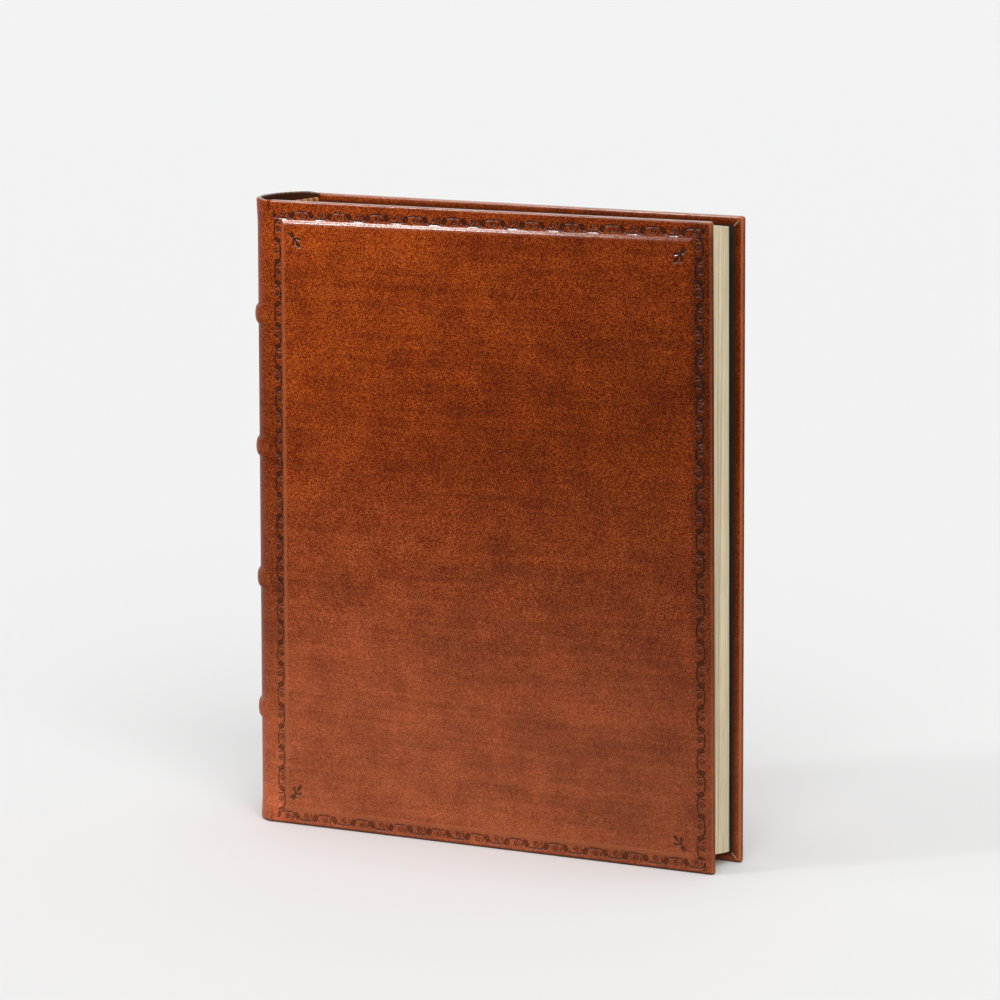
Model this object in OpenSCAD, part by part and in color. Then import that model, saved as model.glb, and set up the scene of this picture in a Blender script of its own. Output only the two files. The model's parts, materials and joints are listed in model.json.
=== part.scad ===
// Full-leather photo album with raised bands, standing on its tail with its front cover a little open
// x runs from the spine to the fore-edge, y from the front cover to the back cover, z from tail to head

/* [Covers] */
// Height of each cover
cover_h = 310; // [200:1:400]
// Width of each cover from the leather joint to the fore-edge
cover_w = 240; // [150:1:320]
// Thickness of the album over its joints
joint_t = 49; // [36:0.5:80]
// Thickness of the cover boards
board_t = 2.4; // [1.6:0.1:4]
// Distance of each board from its joint line
board_set_back = 1; // [0.5:0.1:3]
// Thickness of the leather on the outside
leather_t = 0.8; // [0.5:0.1:1.2]
// Thickness of the leather where it is pared and turned in
turn_in_t = 0.5; // [0.3:0.1:0.8]
// Width of the turned-in leather inside the covers
turn_in_w = 16; // [10:1:30]
// Rounding of the leather over the board edges
edge_r = 1.1; // [0.4:0.1:1.3]
// Running gap in the leather skin at each joint
joint_gap = 0.3; // [0.2:0.1:0.6]
// Distance of each hinge line outside the leather face
hinge_out = 0.3; // [0.1:0.1:1]

/* [How the covers stand] */
// Gap between the front cover and the leaves at the tail of the fore-edge
front_tail_gap = 0.7; // [0.4:0.1:6]
// Gap between the front cover and the leaves at the head of the fore-edge
front_head_gap = 8.4; // [0.4:0.1:10]
// Gap between the back cover and the leaves at the tail of the fore-edge
back_tail_gap = 4.3; // [0.4:0.1:8]
// Gap between the back cover and the leaves at the head of the fore-edge
back_head_gap = 1.2; // [0.4:0.1:8]

/* [Cushioned panel on the front] */
// Height of the panel above the leather face
panel_rise = 1.3; // [0.6:0.1:2.5]
// Width of the panel's sloping edge
panel_bevel = 2.2; // [1:0.1:4]
// Margin between the panel and the joint
panel_joint_margin = 7; // [3:0.1:20]
// Margin between the panel and the fore-edge
panel_fore_margin = 8.7; // [5:0.1:25]
// Margin between the panel and the head
panel_head_margin = 8.4; // [5:0.1:25]
// Margin between the panel and the tail
panel_tail_margin = 6.8; // [5:0.1:25]

/* [Endpapers] */
// Thickness of the black endpapers
endpaper_t = 0.25; // [0.15:0.05:0.5]
// Leather left showing around the pasted-down endpapers
pastedown_margin = 4.5; // [4:0.5:14]

/* [Page block] */
// Distance of the leaves below the head of the covers
head_square = 4.2; // [2:0.1:8]
// Distance of the leaves above the tail of the covers
tail_square = 5.8; // [2:0.1:8]
// Distance of the leaves inside the fore-edge of the covers
fore_square = 5; // [2:0.5:12]
// Thickness of the leaves at the fore-edge
fore_edge_t = 18.8; // [6:0.1:20]
// How far the leaves' fore-edge lies towards the back cover
fore_shift = 0.8; // [0:0.1:3]
// Distance of the block's back from the joint lines
block_set_in = 0; // [0:0.5:8]
// Clearance between the block's shoulders and the covers
shoulder_gap = 0.5; // [0.4:0.1:1.5]
// Number of leaves that show as ridges on the edges
leaf_count = 12; // [6:1:20]
// Depth of the gaps between leaf edges
leaf_gap_depth = 0.6; // [0.2:0.1:2]
// Width of the gaps between leaf edges
leaf_gap_w = 0.3; // [0.1:0.05:0.5]

/* [Back of the block] */
// Number of sewing tapes
tape_count = 3; // [2:1:5]
// Width of a sewing tape
tape_w = 14; // [6:1:25]
// Thickness of a sewing tape
tape_t = 0.4; // [0.2:0.1:0.8]
// Thickness of the open-weave cloth glued over the back
spine_cloth_t = 0.3; // [0.2:0.1:0.6]
// Thickness of the paper lining over the cloth
spine_lining_t = 0.4; // [0.2:0.1:0.8]
// Radius of the bead of the headband and tailband
bead_r = 1.4; // [0.8:0.1:2]
// Height of the headband's tape on the back of the block
headband_tape_h = 10; // [5:1:20]

/* [Hollow spine] */
// Depth of the rounded spine behind the joint lines
spine_depth = 15.5; // [12:0.1:24]
// Thickness of the card that stiffens the spine
spine_card_t = 0.6; // [0.4:0.1:1.2]
// Height of the spine leather above the head of the covers
cap_rise = 0.6; // [0:0.1:2]
// Leather turned in at the head and tail of the spine
cap_turn_in = 15; // [8:1:30]
// Outward swell of the head and tail caps
cap_swell = 0.5; // [0.1:0.1:1.5]
// Length over which the caps swell
cap_swell_l = 12; // [5:1:25]

/* [Raised bands] */
// Number of raised bands
band_count = 4; // [2:1:6]
// Distance of the end bands from the head and the tail
band_end = 56.6; // [20:0.1:70]
// Height of a band where it leaves the spine
band_w = 9.2; // [6:0.1:14]
// How far a band stands out
band_rise = 1.6; // [0.9:0.1:3]
// Length of plan angle over which a band sinks towards each joint
band_fade = 26; // [10:1:45]

/* [Hidden] */
$fn = 32;
// Depths through a cover, measured inwards from its outer leather face
board_in = leather_t + board_t;
cover_t = board_in + turn_in_t;
paper_in = cover_t + endpaper_t;
// Steps in which each cover's slight twist is made
twist_steps = 8;
// Reach of the solids that only cut others
beyond = 30;
// Edges of the cushioned panel, where its slope meets the leather face
panel_s = [panel_joint_margin, cover_w - panel_fore_margin];
panel_z = [panel_tail_margin, cover_h - panel_head_margin];
// Plan and heights of the page block
half_t = joint_t / 2;
leaf_x = [block_set_in, cover_w - fore_square];
leaf_z = [tail_square, cover_h - head_square];
leaf_h = leaf_z[1] - leaf_z[0];
shoulder_y = half_t - paper_in - shoulder_gap - endpaper_t;
// How far the leaves reach towards each cover at their fore-edge
front_fore_y = fore_edge_t / 2 - fore_shift;
back_fore_y = fore_edge_t / 2 + fore_shift;
// Lean of each cover towards the leaves, at its tail and at its head
function lean_for(reach, gap) = asin((half_t - paper_in - reach - endpaper_t - gap) / leaf_x[1]);
front_lean = [lean_for(front_fore_y, front_tail_gap), lean_for(front_fore_y, front_head_gap)];
back_lean = [lean_for(back_fore_y, back_tail_gap), lean_for(back_fore_y, back_head_gap)];
// Length of the guards at the back, where the leaves lie close together
guard_l = 20;
// Depths through the spine, measured outwards from its leather face
card_out = -leather_t - spine_card_t;
cap_in = card_out - turn_in_t;
cap_r = (cap_swell - cap_in) / 2;
spine_top = cover_h + cap_rise;
// Stations round the spine's half-oval plan, by angle from one joint to the other, and those that bands reach
station_step = 9;
stations = [for (t = [-90:station_step:90]) t];
band_stations = [for (k = [1:len(stations) - 2]) stations[k]];
band_pitch = (cover_h - 2 * band_end) / (band_count - 1);
// Radius of a band's rounded section, and the levels where the leather lies over the bands, as [z, lift]
band_r = (pow(band_w / 2, 2) + pow(band_rise, 2)) / (2 * band_rise);
function band_levels(i) = [for (k = [-4:4]) let (z = k / 8 * band_w)
  [band_end + (i - 1) * band_pitch + z, sqrt(pow(band_r, 2) - z * z) - band_r + band_rise]];
// Centre of the whole album in plan
mid = [(cover_w - spine_depth - band_rise) / 2, (cap_swell - panel_rise) / 2];

// Moves the album so that it stands centred on the origin
module centred() translate([-mid.x, -mid.y, 0]) children();

// Turns what is drawn in cover coordinates about the front hinge line
module about_hinge(lean) translate([0, -half_t - hinge_out, 0]) rotate(lean) translate([0, hinge_out, 0]) children();

// Stands a cover's plan over its whole height, with its lean changing evenly from tail to head
module standing(lean)
  translate([0, -half_t - hinge_out, 0]) rotate(lean[0])
    linear_extrude(height = cover_h, twist = lean[0] - lean[1], slices = twist_steps, segments = 4, convexity = 4)
      translate([0, hinge_out]) children();

// Runs a section drawn in depth and height along the width of a cover
module along_cover(lean)
  about_hinge(lean) translate([-1, 0, 0]) rotate([90, 0, 90]) linear_extrude(cover_w + 2) children();

function lean_at(lean, z) = lean[0] + (lean[1] - lean[0]) * z / cover_h;

// One layer of a cover between two depths, cut to a width and a height
module layer(lean, depth, s, z)
  intersection() {
    standing(lean) translate([0, depth[0]]) square([cover_w, depth[1] - depth[0]]);
    about_hinge((lean[0] + lean[1]) / 2) translate([s[0], -beyond, z[0]])
      cube([s[1] - s[0], 2 * beyond, z[1] - z[0]]);
  }

// Everything outside a quarter round
module corner(r)
  difference() {
    square(r + 1);
    circle(r);
  }

// Leather edge turned over the board on three sides
module edge_rounding(lean) {
  r = edge_r;
  for (side = [0, 1]) {
    depth = side == 0 ? r : cover_t - r;
    standing(lean) translate([cover_w - r, depth]) mirror([0, 1 - side]) corner(r);
    along_cover(lean[1]) translate([depth, cover_h - r]) mirror([1 - side, 0]) corner(r);
    along_cover(lean[0]) translate([depth, r]) mirror([1 - side, 0]) mirror([0, 1]) corner(r);
  }
}

// Region outside the panel's sloping edge, with the slope rising to the right
module off_slope() {
  run = panel_bevel / panel_rise;
  over = 3;
  polygon([[-beyond, over], [-over * run, over], [(panel_rise + over) * run, -panel_rise - over],
    [-beyond, -panel_rise - over]]);
}

// Cushioned panel down to a depth, with its surface lowered by the leather that covers it
module cushion(lean, lowered, depth)
  difference() {
    layer(lean, [lowered - panel_rise, depth], [0, cover_w], [0, cover_h]);
    standing(lean) translate([panel_s[0], lowered]) off_slope();
    standing(lean) translate([panel_s[1], lowered]) mirror([1, 0]) off_slope();
    along_cover(lean_at(lean, panel_z[0])) translate([lowered, panel_z[0]]) mirror([1, -1]) off_slope();
    along_cover(lean_at(lean, panel_z[1])) translate([lowered, panel_z[1]]) mirror([0, 1]) mirror([1, -1])
      off_slope();
  }

module board(lean)
  layer(lean, [leather_t, board_in], [board_set_back, cover_w - leather_t], [leather_t, cover_h - leather_t]);

// Card that fills the space between the turned-in edges
module board_lining(lean)
  layer(lean, [board_in, cover_t], [board_set_back, cover_w - turn_in_w], [turn_in_w, cover_h - turn_in_w]);

module pastedown(lean)
  layer(lean, [cover_t, paper_in], [board_set_back, cover_w - pastedown_margin],
    [pastedown_margin, cover_h - pastedown_margin]);

// Leather around a board: one sheet outside, turned in at the head, the tail and the fore-edge
module cover_leather(lean, cushioned)
  difference() {
    union() {
      layer(lean, [0, cover_t], [joint_gap / 2, cover_w + beyond], [-beyond, cover_h + beyond]);
      if (cushioned) cushion(lean, 0, leather_t / 2);
    }
    edge_rounding(lean);
    board(lean);
    // Window between the turn-ins, and the bare inner side along the joint, both cut right through to the inside
    layer(lean, [leather_t + board_t / 2, cover_t + beyond], [0, cover_w - turn_in_w],
      [turn_in_w, cover_h - turn_in_w]);
    layer(lean, [leather_t, cover_t + beyond], [-beyond, board_set_back], [-beyond, cover_h + beyond]);
    if (cushioned) cushion(lean, leather_t, leather_t + board_t / 2);
  }

module front_board() color("tan") board(front_lean);
module front_panel_pad() color("gainsboro") cushion(front_lean, leather_t, leather_t);
module front_board_lining() color("wheat") board_lining(front_lean);
module front_pastedown() color([0.1, 0.1, 0.1]) pastedown(front_lean);
module front_cover_leather() color([0.5, 0.22, 0.08]) cover_leather(front_lean, true);

module back_board() color("tan") mirror([0, 1, 0]) board(back_lean);
module back_board_lining() color("wheat") mirror([0, 1, 0]) board_lining(back_lean);
module back_pastedown() color([0.1, 0.1, 0.1]) mirror([0, 1, 0]) pastedown(back_lean);
module back_cover_leather() color([0.5, 0.22, 0.08]) mirror([0, 1, 0]) cover_leather(back_lean, false);

// Thin gap between two leaves, open at the head, the fore-edge and the tail only
module leaf_gap(i) {
  share = 2 * i / leaf_count - 1;
  start = [leaf_x[0], share * shoulder_y];
  run = [leaf_x[1] - leaf_x[0], fore_shift + share * fore_edge_t / 2 - start.y];
  difference() {
    translate([start.x, start.y, leaf_z[0] - 1]) rotate(atan2(run.y, run.x))
      translate([guard_l, -leaf_gap_w / 2, 0]) cube([norm(run), leaf_gap_w, leaf_h + 2]);
    translate([leaf_x[0], -half_t, leaf_z[0] + leaf_gap_depth])
      cube([leaf_x[1] - leaf_x[0] - leaf_gap_depth, joint_t, leaf_h - 2 * leaf_gap_depth]);
  }
}

function tape_z(i) = leaf_z[0] + leaf_h * i / (tape_count + 1) - tape_w / 2;

// All the leaves with their guards, thick at the back and thin at the fore-edge
module page_block()
  color("beige") difference() {
    translate([0, 0, leaf_z[0]]) linear_extrude(leaf_h)
      polygon([[leaf_x[0], -shoulder_y], [leaf_x[1], -front_fore_y], [leaf_x[1], back_fore_y],
        [leaf_x[0], shoulder_y]]);
    for (i = [1:leaf_count - 1]) leaf_gap(i);
    for (i = [1:tape_count]) translate([leaf_x[0] - 1, -half_t, tape_z(i)]) cube([1 + tape_t, joint_t, tape_w]);
  }

// Loose half of an endpaper, lying on the leaves
module flyleaf(reach)
  color([0.1, 0.1, 0.1]) translate([0, 0, leaf_z[0]]) linear_extrude(leaf_h)
    polygon([[leaf_x[0], shoulder_y], [leaf_x[1], reach], [leaf_x[1], reach + endpaper_t],
      [leaf_x[0], shoulder_y + endpaper_t]]);

module front_flyleaf() mirror([0, 1, 0]) flyleaf(front_fore_y);
module back_flyleaf() flyleaf(back_fore_y);

// Tape that the leaves are sewn round, level with the back of the block
module sewing_tape(i)
  color("linen") translate([leaf_x[0], -shoulder_y, tape_z(i)]) cube([tape_t, 2 * shoulder_y, tape_w]);

// Plate across the back of the block, between two depths outside it
module back_plate(depth, z)
  translate([leaf_x[0] - depth[1], -shoulder_y, z[0]]) cube([depth[1] - depth[0], 2 * shoulder_y, z[1] - z[0]]);

module spine_cloth() color("ivory") back_plate([0, spine_cloth_t], leaf_z);

module spine_lining()
  color("peru") back_plate([spine_cloth_t, spine_cloth_t + spine_lining_t],
    [leaf_z[0] + headband_tape_h, leaf_z[1] - headband_tape_h]);

// Sewn bead on the end of the leaves, with its tape glued down the back
module headband()
  color("gold") {
    out = spine_cloth_t + spine_lining_t;
    back_plate([spine_cloth_t, out], [leaf_z[1] - headband_tape_h, leaf_z[1]]);
    translate([leaf_x[0] - out + bead_r, shoulder_y, leaf_z[1] + bead_r]) rotate([90, 0, 0])
      cylinder(r = bead_r, h = 2 * shoulder_y);
    translate([leaf_x[0] - out, -shoulder_y, leaf_z[1]]) cube([spine_lining_t, 2 * shoulder_y, bead_r]);
  }

module tailband() translate([0, 0, leaf_z[0] + leaf_z[1]]) mirror([0, 0, 1]) headband();

// Point of the spine at an angle of its plan, some distance out of the leather face
function spine_point(t, out, z) =
  let (across = [cos(t) / spine_depth, -sin(t) / half_t])
  [-joint_gap / 2 - spine_depth * cos(t) - out * across.x / norm(across),
    half_t * sin(t) - out * across.y / norm(across), z];

// How much of its height a band keeps at an angle of the plan
function fade(t) =
  let (u = min(1, max(0, (90 - abs(t)) / band_fade)))
  u * u * (3 - 2 * u);

// Solid swept round the spine from a section of points [out, z, lift], closed at each end by the faces given;
// the lift is what a band adds to a point, and it sinks towards the joints
module spine_sweep(section, ends, angles) {
  n = len(section);
  last = (len(angles) - 1) * n;
  points = [for (t = angles) for (p = section) spine_point(t, p[0] + p[2] * fade(t), p[1])];
  // Both faces of a skin are split along the same diagonals, from a lower to a higher level
  sides = [for (i = [0:len(angles) - 2]) for (k = [0:n - 1])
    let (a = i * n + k, b = i * n + (k + 1) % n)
    each section[k][1] < section[(k + 1) % n][1] ? [[a, b, b + n], [a, b + n, a + n]]
      : [[a, b, a + n], [b, b + n, a + n]]];
  starts = [for (face = ends) [for (k = [len(face) - 1:-1:0]) face[k]]];
  stops = [for (face = ends) [for (k = face) k + last]];
  polyhedron(points, concat(sides, starts, stops), convexity = 6);
}

// Skin swept round the spine from as many points on its outer face as on its inner face
module spine_skin(outer, inner) {
  n = len(outer);
  section = concat(outer, [for (k = [n - 1:-1:0]) inner[k]]);
  spine_sweep(section, [for (k = [0:n - 2]) [k, k + 1, 2 * n - 2 - k, 2 * n - 1 - k]], stations);
}

// Cord laid across the back, under the leather
module raised_band(i) {
  section = [for (l = band_levels(i)) [-leather_t, l[0], l[1]]];
  color("burlywood") spine_sweep(section, [[for (k = [0:len(section) - 1]) k]], band_stations);
}

// Card that the spine leather and the bands are glued to
module spine_card()
  color("tan") spine_skin([for (z = [cap_r, spine_top - cap_r]) [-leather_t, z, 0]],
    [for (z = [cap_r, spine_top - cap_r]) [card_out, z, 0]]);

// Half of the spine leather's section at its head or tail, from the face to the end of its turn-in, as [out, depth]
function cap_outer() = concat([[0, cap_swell_l]],
  [for (f = [0:30:180]) [(cap_in + cap_swell) / 2 + cap_r * cos(f), cap_r - cap_r * sin(f)]], [[cap_in, cap_turn_in]]);
function cap_inner() = concat([[-leather_t, cap_swell_l]],
  [for (f = [0:30:180]) [card_out + spine_card_t / 2 * (1 + cos(f)), cap_r - spine_card_t / 2 * sin(f)]],
  [[cap_in + turn_in_t, cap_turn_in]]);
function at_head(list) = [for (p = list) [p[0], spine_top - p[1], 0]];
function at_tail(list) = [for (k = [len(list) - 1:-1:0]) [list[k][0], list[k][1], 0]];

// Spine leather: turned in at the tail, up over the bands, and turned in at the head
module spine_leather() {
  levels = [for (i = [1:band_count]) each band_levels(i)];
  color([0.5, 0.22, 0.08])
    spine_skin(concat(at_tail(cap_outer()), [for (l = levels) [0, l[0], l[1]]], at_head(cap_outer())),
      concat(at_tail(cap_inner()), [for (l = levels) [-leather_t, l[0], l[1]]], at_head(cap_inner())));
}

centred() page_block();
centred() front_flyleaf();
centred() back_flyleaf();
for (i = [1:tape_count]) centred() sewing_tape(i);
centred() spine_cloth();
centred() spine_lining();
centred() headband();
centred() tailband();
centred() spine_card();
for (i = [1:band_count]) centred() raised_band(i);
centred() spine_leather();
centred() front_board();
centred() front_panel_pad();
centred() front_board_lining();
centred() front_pastedown();
centred() front_cover_leather();
centred() back_board();
centred() back_board_lining();
centred() back_pastedown();
centred() back_cover_leather();
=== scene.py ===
import bmesh
import bpy
import json
import math
import numpy as np
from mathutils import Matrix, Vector


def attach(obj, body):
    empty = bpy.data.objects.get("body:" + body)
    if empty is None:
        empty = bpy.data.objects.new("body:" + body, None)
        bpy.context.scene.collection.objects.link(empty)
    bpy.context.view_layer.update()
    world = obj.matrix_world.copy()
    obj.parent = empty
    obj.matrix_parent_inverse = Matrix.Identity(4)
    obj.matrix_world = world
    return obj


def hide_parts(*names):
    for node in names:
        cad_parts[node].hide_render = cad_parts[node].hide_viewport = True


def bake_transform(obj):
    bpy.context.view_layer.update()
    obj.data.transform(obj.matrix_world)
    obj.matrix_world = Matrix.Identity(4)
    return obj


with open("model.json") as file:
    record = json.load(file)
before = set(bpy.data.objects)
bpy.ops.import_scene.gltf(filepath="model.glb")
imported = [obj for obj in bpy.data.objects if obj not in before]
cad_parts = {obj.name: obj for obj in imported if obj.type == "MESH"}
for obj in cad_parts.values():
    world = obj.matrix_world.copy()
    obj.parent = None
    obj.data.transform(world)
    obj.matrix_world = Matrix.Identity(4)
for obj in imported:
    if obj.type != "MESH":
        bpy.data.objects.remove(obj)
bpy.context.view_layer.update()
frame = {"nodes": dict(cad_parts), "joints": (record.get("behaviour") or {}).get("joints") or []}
print("frame loaded:", len(frame["nodes"]), "pieces")

# Lengths are millimetres from here on: x from the joints, y from the middle of the leaves, z from the tail
album = {
    "coverH": 310.0,       # height of a cover
    "coverW": 240.0,       # width of a cover from its joint
    "jointT": 49.0,        # thickness over the joints
    "leatherT": 0.8,       # leather on the outside
    "boardIn": 3.2,        # depth of the boards' inner face
    "coverT": 3.7,         # depth of the turned-in leather's face
    "paperT": 0.25,        # black endpapers
    "turnInW": 16.0,       # width of the turn-ins
    "hingeOut": 0.3,       # hinge line outside the leather
    "jointHalf": 1.0,      # half the width of the strip at each joint
    "pasteMargin": 4.5,    # leather left showing round the pastedowns
    "leafBack": 0.0,       # back of the leaves from the joints
    "leafFore": 235.0,     # fore-edge of the leaves
    "leafTail": 5.8,
    "leafHead": 305.8,
    "shoulderY": 19.8,     # half thickness of the leaves at their back
    "foreHalf": 9.4,       # half thickness of the leaves at their fore-edge
    "foreShift": 0.8,      # how far their fore-edge lies towards the back cover
    "foreSway": 2.9,       # how much farther at the tail, and less far at the head
    "frontGap": (0.7, 8.4),   # how far each cover stands off the leaves at the fore-edge, at tail and head
    "backGap": (4.3, 1.2),
    "spineDepth": 15.5,
    "spineTop": 310.6,
}
mm = 0.001
halfT = album["jointT"] / 2
hinges = {j["name"]: Vector(j["pos_m"]) / mm for j in frame["joints"]}
originX = hinges["front_hinge"].x
originY = (hinges["front_hinge"].y + hinges["back_hinge"].y) / 2


def leanFor(side, gap):
    fore = album["foreHalf"] + album["foreShift"] * (1 if side == "back" else -1)
    reach = halfT - album["coverT"] - 2 * album["paperT"] - fore - gap
    return math.asin(reach / album["leafFore"])


leans = {side: [leanFor(side, gap) for gap in album[side + "Gap"]] for side in ("front", "back")}


def toFrame(points):  # millimetres of the album to metres of the frame
    return (np.asarray(points, float) + [originX, originY, 0]) * mm


def onCover(side, s, depth, z):  # s from the joint along the cover, depth inwards from its outer face
    s, depth, z = np.broadcast_arrays(*(np.asarray(a, float) for a in (s, depth, z)))
    tail, head = leans[side]
    lean = tail + (head - tail) * z / album["coverH"]
    out = album["hingeOut"] + depth
    x = s * np.cos(lean) - out * np.sin(lean)
    y = -halfT - album["hingeOut"] + s * np.sin(lean) + out * np.cos(lean)
    return np.stack([x, y if side == "front" else -y, z], -1)


def leafPoint(x, across, z, lift=0.0):  # across runs from -1 at the front leaf to 1 at the back leaf
    x, across, z = np.broadcast_arrays(*(np.asarray(a, float) for a in (x, across, z)))
    share = (x - album["leafBack"]) / (album["leafFore"] - album["leafBack"])
    level = 1 - 2 * (z - album["leafTail"]) / (album["leafHead"] - album["leafTail"])
    half = album["shoulderY"] + (album["foreHalf"] - album["shoulderY"]) * share
    sway = (album["foreShift"] + album["foreSway"] * level) * share
    return np.stack([x, across * half + sway, z + lift * share], -1)


def smooth(low, high, value):
    t = np.clip((np.asarray(value, float) - low) / (high - low), 0, 1)
    return t * t * (3 - 2 * t)


# Numbers that a leather mesh keeps at each point, from 0 to about 1
leatherMarks = ("tool", "wear", "raw", "shine", "inside")


class Pile:
    # Gathers grids of points into one mesh, with numbers kept per point

    def __init__(self, *kept):
        self.points, self.faces, self.count = [], [], 0
        self.kept = {name: [] for name in kept}

    def add(self, points, **numbers):
        points = np.asarray(points, float)
        shape = points.shape[:-1]
        size = int(np.prod(shape))
        self.points.append(points.reshape(-1, 3))
        for name, rows in self.kept.items():
            rows.append(np.broadcast_to(np.asarray(numbers.get(name, 0.0), float), shape).reshape(-1))
        index = np.arange(self.count, self.count + size).reshape(shape)
        self.count += size
        return index

    def quads(self, rows):
        a, b, c, d = rows[:-1, :-1], rows[1:, :-1], rows[1:, 1:], rows[:-1, 1:]
        self.faces += np.stack([a, b, c, d], -1).reshape(-1, 4).tolist()

    def grid(self, points, **numbers):
        index = self.add(points, **numbers)
        self.quads(index)
        return index

    def lace(self, rowA, rowB):  # joins two rows of different counts, running side by side
        allPoints = np.vstack(self.points)
        spans = []
        for row in (rowA, rowB):
            steps = np.linalg.norm(np.diff(allPoints[row], axis=0), axis=1)
            run = np.concatenate([[0], np.cumsum(steps)])
            spans.append(run / run[-1])
        i, j = 0, 0
        while i < len(rowA) - 1 or j < len(rowB) - 1:
            stepA = j == len(rowB) - 1 or (i < len(rowA) - 1 and spans[0][i + 1] <= spans[1][j + 1])
            nextPoint = rowA[i + 1] if stepA else rowB[j + 1]
            self.faces.append([int(rowA[i]), int(rowB[j]), int(nextPoint)])
            i, j = (i + 1, j) if stepA else (i, j + 1)

    def strips(self, rows):  # faces between each two rows of the same count
        for upper, lower in zip(rows, rows[1:]):
            self.quads(np.stack([upper, lower]))

    def rim(self, top, low):  # the four edges of a sheet, between the grids of its two faces
        for a, b in ((top[0], low[0]), (top[-1], low[-1]), (top[:, 0], low[:, 0]), (top[:, -1], low[:, -1])):
            self.quads(np.stack([a, b]))

    def tube(self, index):  # closes the rows of a grid to rings, and the first and last ring across
        self.quads(np.hstack([index, index[:, :1]]))
        half = index.shape[1] // 2
        for row in (index[0], index[-1]):
            self.quads(np.stack([row[:half], row[:half - 1:-1]]))

    def fan(self, loop):
        self.faces.append([int(k) for k in loop])

    def build(self, name, material, smoothShade=True):
        points = np.vstack(self.points)
        keys = np.round(points / 1e-4).astype(np.int64)
        _, first, back = np.unique(keys, axis=0, return_index=True, return_inverse=True)
        back = back.reshape(-1)
        faces = []
        for face in self.faces:
            welded = [int(back[k]) for k in face]
            welded = [k for n, k in enumerate(welded) if k != welded[n - 1]]
            if len(set(welded)) == len(welded) > 2:
                faces.append(welded)
        mesh = bpy.data.meshes.new(name)
        mesh.from_pydata(toFrame(points[first]).tolist(), [], faces)
        for kept, rows in self.kept.items():
            values = np.concatenate(rows)[first].astype(np.float32)
            mesh.attributes.new(kept, "FLOAT", "POINT").data.foreach_set("value", values)
        work = bmesh.new()
        work.from_mesh(mesh)
        bmesh.ops.recalc_face_normals(work, faces=work.faces)
        work.to_mesh(mesh)
        work.free()
        mesh.polygons.foreach_set("use_smooth", [smoothShade] * len(mesh.polygons))
        if smoothShade:
            mesh.set_sharp_from_angle(angle=math.radians(48))
        piece = bpy.data.objects.new(name, mesh)
        bpy.context.scene.collection.objects.link(piece)
        mesh.materials.append(material)
        return piece


# Shader maths: a Sock stands for a node's output, and an expression on values adds its Math nodes
class Sock:
    def __init__(self, tree, socket):
        self.tree, self.socket = tree, socket

    def maths(self, operation, *others):
        return self.tree.node("ShaderNodeMath", {"operation": operation}, [self, *others])

    def __add__(self, other):
        return self.maths("ADD", other)

    def __sub__(self, other):
        return self.maths("SUBTRACT", other)

    def __rsub__(self, other):
        return self.tree.node("ShaderNodeMath", {"operation": "SUBTRACT"}, [other, self])

    def __mul__(self, other):
        return self.maths("MULTIPLY", other)

    __radd__ = __add__
    __rmul__ = __mul__

    def beside(self, name):  # another output of the same node
        return Sock(self.tree, self.socket.node.outputs[name])

    def ramp(self, low, high):  # 0 at low to 1 at high, smoothly
        settings = {"interpolation_type": "SMOOTHSTEP"}
        return self.tree.node("ShaderNodeMapRange", settings, [self, low, high, 0.0, 1.0])


class Shader:
    def __init__(self, name):
        self.material = bpy.data.materials.new(name)
        self.material.use_nodes = True
        self.nodes = self.material.node_tree.nodes
        self.links = self.material.node_tree.links
        self.nodes.clear()
        self.output = self.nodes.new("ShaderNodeOutputMaterial")

    def plug(self, socket, value):
        if isinstance(value, Sock):
            self.links.new(value.socket, socket)
        elif value is not None:
            socket.default_value = value

    def node(self, kind, settings=None, values=(), out=0):
        made = self.nodes.new(kind)
        for key, value in (settings or {}).items():
            setattr(made, key, value)
        pairs = values.items() if isinstance(values, dict) else enumerate(values)
        for key, value in pairs:
            self.plug(made.inputs[key], value)
        return Sock(self, made.outputs[out])

    def place(self):
        return self.node("ShaderNodeTexCoord", out="Object")

    def scaled(self, x, y, z):
        return self.node("ShaderNodeVectorMath", {"operation": "MULTIPLY"}, [self.place(), (x, y, z)])

    def axis(self, name):
        return self.node("ShaderNodeSeparateXYZ", {}, [self.place()], out=name)

    def noise(self, scale, detail=3.0, rough=0.55, where=None, distortion=0.0):
        return self.node("ShaderNodeTexNoise", {}, {"Vector": where or self.place(), "Scale": scale,
                         "Detail": detail, "Roughness": rough, "Distortion": distortion})

    def mix(self, factor, a, b, blend="MIX"):
        made = self.nodes.new("ShaderNodeMix")
        made.data_type, made.blend_type = "RGBA", blend
        self.plug(made.inputs[0], factor)
        for socket, value in ((made.inputs[6], a), (made.inputs[7], b)):
            self.plug(socket, (*value, 1) if isinstance(value, tuple) else value)
        return Sock(self, made.outputs[2])

    def kept(self, name):
        return self.node("ShaderNodeAttribute", {"attribute_name": name}, out="Fac")

    def bump(self, height, strength, distance, before=None):
        return self.node("ShaderNodeBump", {}, {"Height": height, "Strength": strength, "Distance": distance,
                         "Normal": before})

    def principled(self, **sockets):
        made = self.nodes.new("ShaderNodeBsdfPrincipled")
        for key, value in sockets.items():
            value = (*value, 1) if isinstance(value, tuple) and len(value) == 3 else value
            self.plug(made.inputs[key.replace("_", " ")], value)
        self.links.new(made.outputs[0], self.output.inputs[0])
        return self.material


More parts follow.
